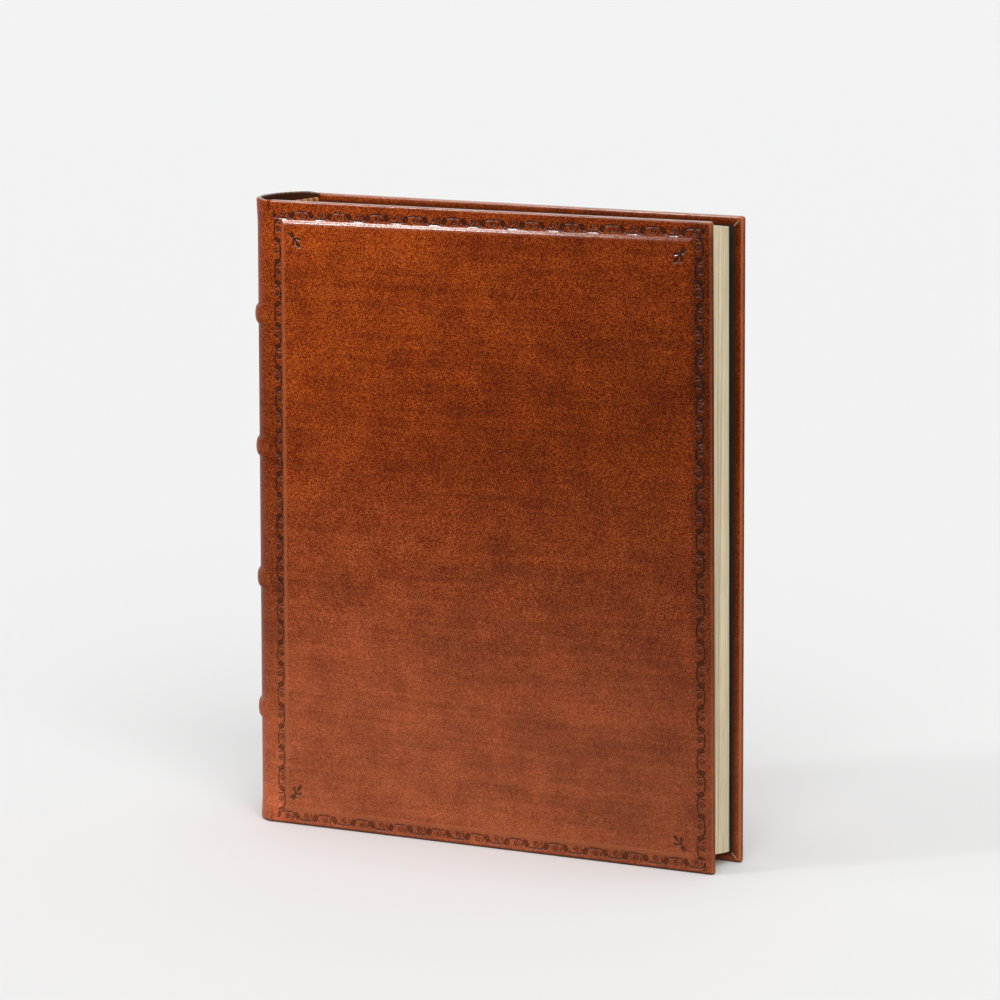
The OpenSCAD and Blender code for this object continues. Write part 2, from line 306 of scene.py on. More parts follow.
# Finishes
leatherTone = {
    "deep": (0.118, 0.0116, 0.0006), "body": (0.231, 0.0290, 0.0012), "light": (0.350, 0.0490, 0.0026),
    "paintedFloorLight": (0.372, 0.083, 0.0180),   # painted floor light, towards the tail
    # The edge colour stands for worn edges: laid on by the wear mark, it is partly real wear and partly a
    # painted highlight on the edges' roundings, the spine's cap and bands and the panel's slopes
    "tooled": (0.020, 0.0062, 0.0030), "edge": (0.42, 0.11, 0.030), "paintedHighlight": (0.60, 0.40, 0.33),
    # The inside colour is painted shade, in the spine's hollow and deep on the turn-ins
    "raw": (0.42, 0.25, 0.13), "inside": (0.055, 0.016, 0.007), "contactShade": (0.020, 0.009, 0.006),
    "pit": (0.56, 0.36, 0.15), "crestGlint": (2.00, 3.00, 7.00),   # how the grain's pits and crests alter it; the crests' pale tint is partly a painted glint
    "bodyShare": 0.42, "toneRange": (0.38, 0.62),
    "gloss": 0.05, "rough": 0.36, "coatRough": 0.14, "coatIor": 2.0,
}
leatherScale = {"cloud": 7.0, "mottle": 46.0, "streaks": (9.0, 9.0, 250.0), "rubs": (60.0, 900.0, 900.0),
                "grain": 1100.0, "fine": 2600.0, "pebble": 3100.0}
# Zones where the leather is darker or paler, as (from, to) in metres of the frame, and how much
leatherZone = {
    "tail": (0.22, 0.0), "tailFloorLight": 0.80,
    "middleLow": (0.03, 0.13), "middleHigh": (0.30, 0.19), "middleDark": 0.12,
    "fore": (-0.10, 0.13), "paintedForeShade": 0.34,
    "joint": (-0.101, -0.107), "jointCreaseShade": 0.26,
    "spine": (-0.104, -0.108), "spineFoot": (0.10, 0.01), "spineFootFloorLight": 0.38,
    "margin": (0.116, 0.121), "marginRise": (0.02, 0.20), "paintedMarginShade": 0.10, "paintedMarginTopShade": 0.32,
    # painted contact shadow along the very tail edge
    "floor": (0.0016, 0.0003), "floorContactShade": 0.85,
}
# Darker stains on the front, as (s, z, radius, strength)
stains = [(55, 119, 15, 0.26), (78, 128, 10, 0.16), (128, 152, 13, 0.24), (88, 262, 5, 0.25),
          (67, 186, 7, 0.14), (200, 128, 26, 0.14), (150, 205, 34, 0.10), (205, 240, 30, 0.12)]


def tinted(colour, share):
    return tuple(c * share for c in colour)


def leatherFinish(name, front=False):
    sh = Shader(name)
    hue, size, zone = leatherTone, leatherScale, leatherZone
    along, high = sh.axis("X"), sh.axis("Z")
    cloud = sh.noise(size["cloud"], 5.0, 0.62)
    mottle = sh.noise(size["mottle"], 5.0, 0.68)
    streaks = sh.noise(1.0, 3.0, 0.6, sh.scaled(*size["streaks"]), 0.7)
    fine = sh.noise(size["fine"], 1.0, 0.5)
    grain = sh.noise(size["grain"], 2.0, 0.7)
    sockets = {"Vector": sh.place(), "Scale": size["pebble"]}
    pebble = sh.node("ShaderNodeTexVoronoi", {}, sockets, out="Distance")
    cell = sh.node("ShaderNodeSeparateXYZ", {}, [pebble.beside("Color")], out="X")
    tone = (cloud * 0.40 + mottle * 0.38 + streaks * 0.22).ramp(*hue["toneRange"])
    colour = sh.mix(tone, hue["deep"], hue["light"])
    colour = sh.mix(hue["bodyShare"], colour, hue["body"])
    paintedFloorLight = sh.mix(tone, tinted(hue["paintedFloorLight"], 0.76), tinted(hue["paintedFloorLight"], 1.26))
    # Painted floor light: paler towards the tail, as if lit from the floor
    colour = sh.mix(high.ramp(*zone["tail"]) * zone["tailFloorLight"], colour, paintedFloorLight)
    # Darker towards the fore-edge and half way up, above all along the joints, and paler at the spine's foot:
    # painted shade towards the fore-edge, in its margin and in the joint's crease, and painted floor light at
    # the spine's foot
    middle = high.ramp(*zone["middleLow"]) * high.ramp(*zone["middleHigh"])
    dark = (1.0 - along.ramp(*zone["fore"]) * zone["paintedForeShade"]) * (1.0 - middle * zone["middleDark"])
    # Painted shade in the joint's crease, half way up, reaching over the spine
    dark = dark * (1.0 - middle * along.ramp(*zone["joint"]) * zone["jointCreaseShade"])
    # Painted floor light: the spine is paler towards its foot
    dark = dark * (along.ramp(*zone["spine"]) * high.ramp(*zone["spineFoot"]) * zone["spineFootFloorLight"] + 1.0)
    if front:
        # Painted shade in the margin beyond the panel on the fore-edge side, most towards the head
        margin = high.ramp(*zone["marginRise"]) * zone["paintedMarginTopShade"] + zone["paintedMarginShade"]
        dark = dark * (1.0 - along.ramp(*zone["margin"]) * margin)
    colour = sh.mix(1.0, colour, dark, "MULTIPLY")
    if front:
        mass = 0.0
        for at, z, radius, strength in stains:
            where = tuple(toFrame(onCover("front", at, 0.0, z)))
            settings = {"operation": "DISTANCE"}
            away = sh.node("ShaderNodeVectorMath", settings, [sh.place(), where], out="Value")
            spot = (away + (mottle - 0.5) * 0.030).ramp(radius * mm * 1.3, 0.0) * strength
            mass = spot + mass
        colour = sh.mix(mass.maths("MINIMUM", 0.8), colour, tinted(hue["deep"], 0.45))
    # The grain's pits and crests, weaker towards the tail: partly grain, partly painted glints on the crests
    specksAndGlints = (cell * cell * 1.9 - 0.63 + (grain - 0.5) * 0.8) * (high.ramp(0.05, 0.30) * 0.90 + 0.28) + 0.29
    colour = sh.mix(specksAndGlints, sh.mix(1.0, colour, hue["pit"], "MULTIPLY"),
                    sh.mix(1.0, colour, hue["crestGlint"], "MULTIPLY"))
    wear, tool = sh.kept("wear"), sh.kept("tool")
    # Worn edges, partly real wear and partly a painted highlight
    colour = sh.mix((wear * 0.5).maths("MINIMUM", 0.85), colour, hue["edge"])
    colour = sh.mix(tool.ramp(0.15, 0.85) * (high.ramp(0.0, 0.28) * 0.22 + 0.68), colour, hue["tooled"])
    # Painted shade in the spine's hollow and on the turn-ins behind the leaves
    colour = sh.mix(sh.kept("inside"), colour, hue["inside"])
    colour = sh.mix(sh.kept("raw"), colour, hue["raw"])
    # Painted contact shadow along the very tail edge
    colour = sh.mix(high.ramp(*zone["floor"]) * zone["floorContactShade"], colour, hue["contactShade"])
    # Surfaces that face up get a painted highlight, pale in streaks, and a shiny coat in the same streaks
    facing = sh.node("ShaderNodeSeparateXYZ", {}, [sh.node("ShaderNodeNewGeometry", out="Normal")], out="Z")
    paintedHighlight = sh.noise(1.0, 3.0, 0.6, sh.scaled(*size["rubs"])).ramp(0.36, 0.56)
    colour = sh.mix(facing.ramp(0.45, 0.85) * (paintedHighlight * 0.42 + 0.07), colour, hue["paintedHighlight"])
    normal = sh.bump(pebble * 0.9 + fine * 0.5, 0.5, 0.00012)
    rough = hue["rough"] + (fine - 0.5) * 0.3 + tool * 0.1
    coat = (wear * 0.06 + sh.kept("shine")) * (grain.ramp(0.30, 0.66) * 1.1 + 0.35)
    coat = coat + facing.ramp(0.55, 0.97) * (paintedHighlight * 0.6 + 0.12) + 0.004
    return sh.principled(Base_Color=colour, Roughness=rough, Normal=normal, Specular_IOR_Level=hue["gloss"],
                         Coat_Weight=coat.maths("MINIMUM", 1.0), Coat_Roughness=hue["coatRough"],
                         Coat_IOR=hue["coatIor"])


def paperFinish(name, colour, shadow, scale=60.0, lines=None):
    sh = Shader(name)
    tone = sh.mix(sh.noise(scale, 4.0).ramp(0.3, 0.7), colour, shadow)
    if lines:   # painted shade: dark streaks along the edges of the leaves, as in the gaps between them
        streaks = sh.noise(1.0, 2.0, 0.6, sh.scaled(*lines)).ramp(0.44, 0.60)
        tone = sh.mix(streaks * 0.8, tone, tinted(shadow, 0.66))
    normal = sh.bump(sh.noise(900.0, 3.0), 0.25, 0.0001)
    return sh.principled(Base_Color=tone, Roughness=0.86, Normal=normal, Specular_IOR_Level=0.25)


def wovenFinish(name, colour, pitch):
    sh = Shader(name)
    turns = 2 * math.pi / (pitch * mm)
    across = (sh.axis("Y") * turns).maths("SINE") * (sh.axis("Z") * turns).maths("SINE")
    tone = sh.mix(across.ramp(-1.0, 1.0), tinted(colour, 0.62), colour)
    return sh.principled(Base_Color=tone, Roughness=0.9, Normal=sh.bump(across, 0.6, 0.0002))


def silkFinish(name):
    silk = {"yellow": (0.50, 0.23, 0.012), "maroon": (0.14, 0.011, 0.030), "repeat": 5.4}
    sh = Shader(name)
    wave = (sh.axis("Y") * (2 * math.pi / (silk["repeat"] * mm))).maths("SINE")
    stripe = (wave + (sh.noise(420.0, 1.0) - 0.5) * 2.6).ramp(0.0, 0.25)
    tone = sh.mix(stripe, silk["maroon"], silk["yellow"])
    tone = sh.mix(sh.noise(2500.0, 2.0) * 0.4, tone, tinted(silk["yellow"], 0.6))
    return sh.principled(Base_Color=tone, Roughness=0.45, Normal=sh.bump(sh.noise(3000.0, 2.0), 0.4, 0.0001))


finish = {
    "leather": leatherFinish("tanLeather"),
    "frontLeather": leatherFinish("frontLeather", True),
    "spineLeather": leatherFinish("spineLeather"),
    "pages": paperFinish("creamLeaves", (0.79, 0.69, 0.47), (0.70, 0.60, 0.40), 40.0, (300.0, 1000.0, 4.0)),
    "blackPaper": paperFinish("blackEndpaper", (0.022, 0.020, 0.017), (0.014, 0.013, 0.011), 90.0),
    "board": paperFinish("greyBoard", (0.40, 0.35, 0.27), (0.30, 0.26, 0.20), 120.0),
    "card": paperFinish("brownCard", (0.36, 0.24, 0.13), (0.27, 0.18, 0.10), 120.0),
    "felt": paperFinish("feltPadding", (0.70, 0.68, 0.62), (0.58, 0.56, 0.51), 300.0),
    "linen": wovenFinish("linenTape", (0.66, 0.61, 0.50), 0.9),
    "silk": silkFinish("headbandSilk"),
}
# Finishes of the pieces that keep their CAD meshes; the sewing tapes are linen and the others card
cadFinish = {"spine_cloth": "linen", "front_board": "board", "back_board": "board", "front_panel_pad": "felt"}
for node, piece in frame["nodes"].items():
    key = cadFinish.get(node, "linen" if node.startswith("sewing") else "card")
    for slot in piece.material_slots:
        slot.material = finish[key]
print("finishes made:", len(bpy.data.materials))

# Blind tooling: strokes that widen or narrow from one end to the other, each as (x, y, half width) twice
roll = {"period": 20.6, "half": 2.35, "stroke": 0.27, "depth": 0.27, "soft": 0.50}
fleuron = {
    "depth": 0.40, "soft": 0.75,
    # the foot of each, as (s, z, angle), from the tail at the joint round to the head at the joint
    "places": [(11.9, 13.9, 54), (225.1, 11.5, 130), (226.3, 295.4, 230), (13.6, 294.3, -53)],
}


def leaf(x, y, angle, length, width):  # a small leaf from its stalk at x, y
    c, s = math.cos(math.radians(angle)), math.sin(math.radians(angle))
    mid = (x + c * length * 0.55, y + s * length * 0.55, width)
    return [(x, y, width * 0.25, *mid), (*mid, x + c * length, y + s * length, width * 0.15)]


def curl(x, y, start, turns, radius, way):  # a stroke that winds in towards a berry at x, y
    points = []
    for k in range(13):
        t = k / 12
        a = math.radians(start) + way * turns * 2 * math.pi * t
        r = radius * (1 - 0.30 * t)
        points.append((x + r * math.cos(a), y + r * math.sin(a), roll["stroke"]))
    strokes = [(*points[k], *points[k + 1]) for k in range(12)]
    return strokes + [(x, y, 0.52, x + 0.05, y, 0.52)]


def rollStrokes():
    # One period of a running vine, with a berry in a curl, a bud and a pair of leaves in each half-wave
    period, strokes = roll["period"], []
    for half in (0, 1):
        way = 1 - 2 * half
        shift = half * period / 2
        wave = []
        for k in range(13):
            y = 1.85 * math.tanh(1.7 * math.sin(math.pi * k / 12)) / math.tanh(1.7)
            wave.append((shift + period / 2 * k / 12, way * y, roll["stroke"] * (1.5 if 2 < k < 9 else 1.0)))
        strokes += [(*wave[k], *wave[k + 1]) for k in range(12)]
        strokes += curl(shift + period * 0.26, -way * 0.45, 80 * way, 0.92, 1.42, -way)
        bud = shift + period * 0.02
        for tilt in (-1, 1):   # like a V, opening outwards
            strokes.append((bud, -way * 1.9, 0.22, bud + tilt * 0.85, way * 0.3, 0.5))
        strokes += leaf(bud, way * 0.2, way * 90, 1.9, 0.5)
        strokes += leaf(shift + period * 0.415, way * 0.9, -way * 102, 3.2, 0.42)
        strokes += leaf(shift + period * 0.435, way * 1.0, -way * 66, 3.0, 0.42)
        strokes += leaf(shift + period * 0.44, way * 1.0, way * 40, 1.5, 0.42)
    return strokes


def fleuronStrokes():  # a sprig from its foot at 0, 0 up to its tip, about 8.6 long
    strokes = [(0.8, 0.0, 0.36, 4.4, 0.0, 0.34), (4.2, 0.0, 0.44, 6.2, 0.0, 0.95),
               (6.2, 0.0, 0.95, 7.3, 0.0, 0.6)]
    for way in (1, -1):
        strokes.append((-1.1, way * 0.68, 0.50, 0.9, way * 0.55, 0.58))
        strokes.append((2.5, way * 0.35, 0.34, 3.7, way * 1.75, 0.70))
        strokes.append((3.7, way * 1.75, 0.70, 4.6, way * 2.4, 0.52))
    return strokes


def stamped(x, y, strokes, soft):  # how fully each point is pressed in, 0 to 1
    x, y = np.asarray(x, float), np.asarray(y, float)
    nearest = np.full(x.shape, 9.0)
    for x0, y0, r0, x1, y1, r1 in strokes:
        dx, dy = x1 - x0, y1 - y0
        t = np.clip(((x - x0) * dx + (y - y0) * dy) / (dx * dx + dy * dy), 0, 1)
        away = np.hypot(x - x0 - t * dx, y - y0 - t * dy) - (r0 + (r1 - r0) * t)
        nearest = np.minimum(nearest, away)
    return smooth(0.5 * soft, -0.5 * soft, nearest)


def rolled(u, v, length, half):  # the roll run along an edge, a whole number of times
    period = roll["period"]
    times = max(1, round(length / period))
    phase = np.mod(u * times / length, 1.0) * period
    across = v * roll["half"] / half
    strokes = rollStrokes()
    around = strokes + [(x0 + k * period, y0, r0, x1 + k * period, y1, r1) for k in (-1, 1)
                        for x0, y0, r0, x1, y1, r1 in strokes if -3 < x0 + k * period < period + 3]
    return stamped(phase, across, around, roll["soft"]) * smooth(1.0, 0.95, np.abs(v) / half)


# The cushioned panel and the tooled border round it, by distances from the edges of the front cover
panel = {
    "foot": (7.0, 231.3, 6.8, 301.6),      # joint side, fore-edge side, tail side, head side
    "border": (2.6, 236.4, 2.1, 306.2),    # outer edges of the border
    "rise": 1.3, "slope": 2.1, "bend": 0.35, "pillow": 0.30, "pillowRun": 9.0,
    "shine": (0.03, 0.0, 0.05, 0.33), "paintedHighlight": (0.85, 0.0, 0.9, 0.6),   # on the slope of each side: coat, and a painted highlight
    "headFade": (50.0, 235.0), "headFadeBy": 0.72,
    "headTurn": (110.0, 0.0068),           # its head edge runs at a slight angle, about this s
    "cell": 0.32, "coarse": 7.0, "fineRun": 14.5, "ringStart": 3.0,
}


def cushion(t):  # height of the panel at a distance in from its foot
    bend, run = panel["bend"], panel["slope"]
    t = np.maximum(t, 0)
    # An even slope, rounded off over the bend at its foot and its crest
    reach = math.hypot(run, bend)
    ramp = np.sqrt(t ** 2 + bend ** 2) - bend - np.sqrt((t - run) ** 2 + bend ** 2) + reach
    ramp = ramp / (2 * (reach - bend))
    ramp = np.where(t < 2 * run, np.minimum(ramp, 1), 1)
    return (panel["rise"] - panel["pillow"]) * ramp + panel["pillow"] * (1 - np.exp(-t / panel["pillowRun"]))


def glint(depth, sLine, zLine):  # how far each point lies on the lower wall of a stroke, which is burnished
    alongS, alongZ = np.gradient(depth, sLine, zLine)
    high = 0.4 + 0.6 * smooth(60, 280, zLine)[None, :] + 0.4 * smooth(296, 303, zLine)[None, :]
    return smooth(0.24, 0.46, alongZ) * smooth(0.62, 0.30, np.abs(alongS)) * high


def headTurn(s, z):  # height of a point of the border and the panel, which are a little askew at the head
    middle, angle = panel["headTurn"]
    return z + (s - middle) * angle * smooth(220, 300, z)


def lines(*stretches):  # places from (start, end, step) stretches that follow on
    out = [stretches[0][0]]
    for start, end, step in stretches:
        n = max(1, math.ceil((end - start) / step - 1e-6))
        out += [start + (end - start) * k / n for k in range(1, n + 1)]
    return np.array(out)


def addBorder(pile):
    s0, s1, z0, z1 = panel["border"]
    f0, f1, g0, g1 = panel["foot"]
    cell = panel["cell"]
    sides = lines((s0, f0, cell)), lines((f0, f1, cell)), lines((f1, s1, cell))
    rises = lines((z0, g0, cell)), lines((g0, g1, cell)), lines((g1, z1, cell))
    for i, sLine in enumerate(sides):
        for j, zLine in enumerate(rises):
            if i == 1 and j == 1:
                continue
            s, z = np.meshgrid(sLine, zLine, indexing="ij")
            if j == 1:
                half = (sLine[-1] - sLine[0]) / 2
                v = (s - (sLine[0] + half)) * (-1 if i == 2 else 1)
                press = rolled(z - g0, v, g1 - g0, half)
            else:   # the roll along the head and the tail runs on through the corners
                half = (zLine[-1] - zLine[0]) / 2
                v = (z - (zLine[0] + half)) * (-1 if j == 2 else 1)
                press = rolled(s - s0, v, s1 - s0, half)
            depth = roll["depth"] * press
            points = onCover("front", s, depth, headTurn(s, z))
            pile.grid(points, tool=press, shine=glint(depth, sLine, zLine))
    whole = [np.concatenate([group[0], group[1][1:], group[2][1:]]) for group in (sides, rises)]
    inner = [sides[1], rises[1]]
    return whole, inner


def onSlope(key, s, z):  # a number that belongs to the nearest side of the panel
    f0, f1, g0, g1 = panel["foot"]
    away = np.stack([s - f0, f1 - s, z - g0, g1 - z])
    nearest, inset = np.argmin(away, 0), np.min(away, 0)
    slope = panel["slope"]
    level = np.array(panel[key])[nearest] * smooth(-0.1, 0.5, inset) * smooth(slope + 0.9, slope, inset)
    return level * np.where(nearest == 3, 1 - panel["headFadeBy"] * smooth(*panel["headFade"], s), 1)


def rectRow(sLine, zLine, depth, side, pile, marked=False, turned=False):
    # A row round a rectangle, starting and ending at its joint-side tail corner
    loop = [(s, zLine[0]) for s in sLine[:-1]] + [(sLine[-1], z) for z in zLine[:-1]] + \
        [(s, zLine[-1]) for s in sLine[:0:-1]] + [(sLine[0], z) for z in zLine[::-1]]
    s, z = np.array(loop).T
    # on the panel's slopes the wear mark carries a painted highlight
    marks = {"shine": onSlope("shine", s, z), "wear": onSlope("paintedHighlight", s, z)} if marked else {}
    return pile.add(onCover(side, s, depth, headTurn(s, z) if turned else z), **marks)


def fleuronPress(s, z):
    total = np.zeros(s.shape)
    for x, y, angle in fleuron["places"]:
        c, n = math.cos(math.radians(angle)), math.sin(math.radians(angle))
        dx, dy = s - x, z - y
        press = stamped(dx * c + dy * n, dy * c - dx * n, fleuronStrokes(), fleuron["soft"])
        total = np.maximum(total, press)
    return total


def addPanel(pile, innerLines):
    f0, f1, g0, g1 = panel["foot"]
    start, fine, cell, coarse = (panel[key] for key in ("ringStart", "fineRun", "cell", "coarse"))
    fineHead = fine + 1.5
    sLine = lines((f0 + start, f0 + fine, cell), (f0 + fine, f1 - fine, coarse),
                  (f1 - fine, f1 - start, cell))
    zLine = lines((g0 + start, g0 + fine, cell), (g0 + fine, g1 - fineHead, coarse),
                  (g1 - fineHead, g1 - start, cell))
    s, z = np.meshgrid(sLine, zLine, indexing="ij")
    t = np.minimum.reduce([s - f0, f1 - s, z - g0, g1 - z])
    press = fleuronPress(s, z)
    depth = fleuron["depth"] * press
    # the slopes' wear mark is a painted highlight
    pile.grid(onCover("front", s, depth - cushion(t), headTurn(s, z)), tool=press,
              wear=onSlope("paintedHighlight", s, z), shine=onSlope("shine", s, z) + glint(depth, sLine, zLine))
    # The slope runs down in mitred rings from the edge of that grid
    previous = None
    insets = [start, 2.6, 2.3, 2.0, 1.7, 1.4, 1.1, 0.8, 0.5, 0.25]
    for inset in insets:
        share = [(line - line[0]) / (line[-1] - line[0]) for line in (sLine, zLine)]
        ringS = f0 + inset + share[0] * (f1 - f0 - 2 * inset)
        ringZ = g0 + inset + share[1] * (g1 - g0 - 2 * inset)
        row = rectRow(ringS, ringZ, -float(cushion(inset)), "front", pile, True, True)
        if previous is not None:
            pile.quads(np.stack([previous, row]))
        previous = row
    pile.lace(previous, rectRow(innerLines[0], innerLines[1], 0.0, "front", pile, False, True))


cover = {
    "edgeR": 1.3, "headShine": 1.0, "corner": 1.5, "mitre": 0.6,
    "pare": 0.3,                # how much the edge of a turn-in is thinned
    # Wear along the outer and inner roundings of the edges is partly real and partly a painted highlight; at
    # the corners it is real wear
    "outerWearAndHighlight": 0.6, "innerWearAndHighlight": 1.5, "tipWear": 1.2,
    "mitreDip": 0.25,
    "step": 6.0, "count": (40, 50),   # size of the wide faces, and points along the tail and the fore-edge
}


def uRow(pile, side, inset, depth, corner, **numbers):
    # A row along the tail, the fore-edge and the head of a cover, open at the joint
    w, h = album["coverW"] - inset, album["coverH"] - inset
    sStart, count = album["jointHalf"], cover["count"]
    arc = np.radians(np.linspace(0, 90, 7))
    tail = [(s, inset) for s in np.linspace(sStart, w - corner, count[0])]
    bend = [(w - corner + corner * math.sin(a), inset + corner - corner * math.cos(a)) for a in arc[1:-1]]
    fore = [(w, z) for z in np.linspace(inset + corner, h - corner, count[1])]
    bend2 = [(w - corner + corner * math.cos(a), h - corner + corner * math.sin(a)) for a in arc[1:-1]]
    head = [(s, h) for s in np.linspace(w - corner, sStart, count[0])]
    loop = np.array(tail + bend + fore + bend2 + head)
    middle = np.zeros(len(loop))
    for start in (count[0], count[0] + 5 + count[1]):   # the two mitre lines
        middle[start:start + 5] = 1.0
    atHead = np.arange(len(loop)) >= len(loop) - count[0]
    masks = {"raw": middle, "shine": atHead}
    values = {key: value * masks.get(key, 1.0) for key, value in numbers.items()}
    if "wear" in values:   # the corners are rubbed most
        tip = np.hypot(album["coverW"] - loop[:, 0], np.minimum(loop[:, 1], album["coverH"] - loop[:, 1]))
        values["wear"] = values["wear"] + cover["tipWear"] * np.exp(-(tip / 2.4) ** 2)
    dip = cover["mitreDip"] * middle * numbers.get("raw", 0.0)
    return pile.add(onCover(side, loop[:, 0], depth - dip, loop[:, 1]), **values)


def coverSkin(side, cushioned):
    pile = Pile(*leatherMarks)
    r, t, g = cover["edgeR"], album["coverT"], album["jointHalf"]
    skin, width = album["leatherT"], album["turnInW"]
    flat = r + 0.2   # a flat row beside the rounded edge
    rows = [uRow(pile, side, flat, 0.0, 0.3)]
    for k in range(7):   # outer face down to the edge
        a = math.radians(15 * k)
        inset, depth = r * (1 - math.sin(a)), r * (1 - math.cos(a))
        corner = max(0.3, cover["corner"] - inset * 0.8)
        rows.append(uRow(pile, side, inset, depth, corner, wear=cover["outerWearAndHighlight"] * math.sin(2 * a) ** 3,
                         shine=cover["headShine"] * math.sin(a)))
    for k in range(7):   # round the edge to the turned-in face
        a = math.radians(15 * k)
        inset, depth = r * (1 - math.cos(a)), t - r * (1 - math.sin(a))
        corner = max(0.3, cover["corner"] - inset * 0.8)
        rows.append(uRow(pile, side, inset, depth, corner, wear=cover["innerWearAndHighlight"] * math.sin(2 * a),
                         shine=cover["headShine"] * (1 - 0.6 * math.sin(a) ** 4)))
    turned = [(inset, t) for inset in (2.3, 3.2, 3.6, 6, 10, width - 0.8)]
    turned += [(width - 0.2, t - 0.08), (width, t - cover["pare"])]
    for inset, depth in turned:
        # painted shade, stronger farther in from the cover's edge
        inside = min(0.9, inset * 0.35 - 0.6)
        rows.append(uRow(pile, side, inset, depth, cover["mitre"], raw=1, inside=inside))
    pile.strips(rows)
    flesh = []
    for inset, depth in ((width, album["boardIn"]), (skin, album["boardIn"]), (skin, skin)):
        flesh.append(uRow(pile, side, inset, depth, 0.2))
    pile.strips([rows[-1], *flesh])
    # The joint edge of the outer face, and the faces inside the first row
    w, h, step = album["coverW"], album["coverH"], cover["step"]
    sCoarse, zCoarse = lines((g, w - flat, step)), lines((flat, h - flat, step))
    edgeRow = rectRow(sCoarse, zCoarse, 0.0, side, pile)
    corner = len(sCoarse) - 1 + len(zCoarse) - 1 + len(sCoarse) - 1
    pile.lace(rows[0], edgeRow[:corner + 1])
    if cushioned:
        whole, inner = addBorder(pile)
        pile.lace(edgeRow, rectRow(whole[0], whole[1], 0.0, side, pile, False, True))
        addPanel(pile, inner)
    else:
        s, z = np.meshgrid(sCoarse, zCoarse, indexing="ij")
        pile.grid(onCover(side, s, 0.0, z))
    # Flesh side under the outer face
    sIn, zIn = lines((g, w - skin, step)), lines((skin, h - skin, step))
    s, z = np.meshgrid(sIn, zIn, indexing="ij")
    f = panel["foot"]
    under = np.minimum.reduce([s - f[0], f[1] - s, z - f[2], f[3] - z])
    lift = cushion(under - 1.0) * (under > 1.0) if cushioned else 0.0
    pile.grid(onCover(side, s, skin - lift, z))
    fleshRow = rectRow(sIn, zIn, skin, side, pile)
    cornerIn = len(sIn) - 1 + len(zIn) - 1 + len(sIn) - 1
    pile.lace(flesh[-1], fleshRow[:cornerIn + 1])
    # The cut edge at the joint, from the tail's turn-in over the face to the head's turn-in
    face = [[row[0] for row in rows[::-1]], edgeRow[:corner - 1:-1][1:-1], [row[-1] for row in rows]]
    back = [[row[0] for row in flesh], fleshRow[:cornerIn - 1:-1][1:-1], [row[-1] for row in flesh[::-1]]]
    pile.lace(np.concatenate(face), np.concatenate(back))
    piece = pile.build(side + "CoverSkin", finish["frontLeather" if cushioned else "leather"])
    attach(piece, side + "_cover")
    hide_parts(side + "_cover_leather")
    return piece


for side in ("front", "back"):
    piece = coverSkin(side, side == "front")
    print(piece.name, "has", len(piece.data.polygons), "faces")

# The spine: half an oval in plan, carried over the bands and turned in at head and tail
spine = {
    "cardT": 0.6, "turnInT": 0.5, "capTurnIn": 15.0, "swell": 0.5, "swellL": 12.0,
    "bandEnd": 56.6, "bandCount": 4, "bandW": 9.2, "bandRise": 1.6, "bandFade": 26.0,
    # Wear on the cap and the bands is partly real and partly a painted highlight
    "stationStep": 2.5, "gap": 0.15, "capWearAndHighlight": 0.9, "bandWearAndHighlight": 0.35,
}


def spineAt(angle, out, z):
    angle, out, z = np.broadcast_arrays(*(np.asarray(a, float) for a in (angle, out, z)))
    c, s = np.cos(np.radians(angle)), np.sin(np.radians(angle))
    nx, ny = -c / album["spineDepth"], s / halfT
    size = np.hypot(nx, ny)
    x = -spine["gap"] - album["spineDepth"] * c + out * nx / size
    return np.stack([x, halfT * s + out * ny / size, z], -1)


def bandLift(z):  # how far a band stands out at a height, with a small fillet at its feet
    pitch = (album["coverH"] - 2 * spine["bandEnd"]) / (spine["bandCount"] - 1)
    lift = np.zeros(np.shape(z))
    for k in range(spine["bandCount"]):
        away = np.abs(np.asarray(z) - spine["bandEnd"] - k * pitch) / (spine["bandW"] / 2)
        dome = np.sqrt(np.clip(1 - away ** 2, 0, 1)) ** 0.9
        skirt = 0.10 * np.exp(-np.maximum(away - 0.93, 0) * 9.0)
        lift = np.maximum(lift, spine["bandRise"] * np.maximum(dome, skirt))
    return lift


def bandFade(angle):
    return smooth(0, spine["bandFade"], 90 - np.abs(angle))


def jointAngle():  # where the spine's skin ends and the joint strip begins
    return math.degrees(math.acos((album["jointHalf"] - spine["gap"]) / album["spineDepth"]))


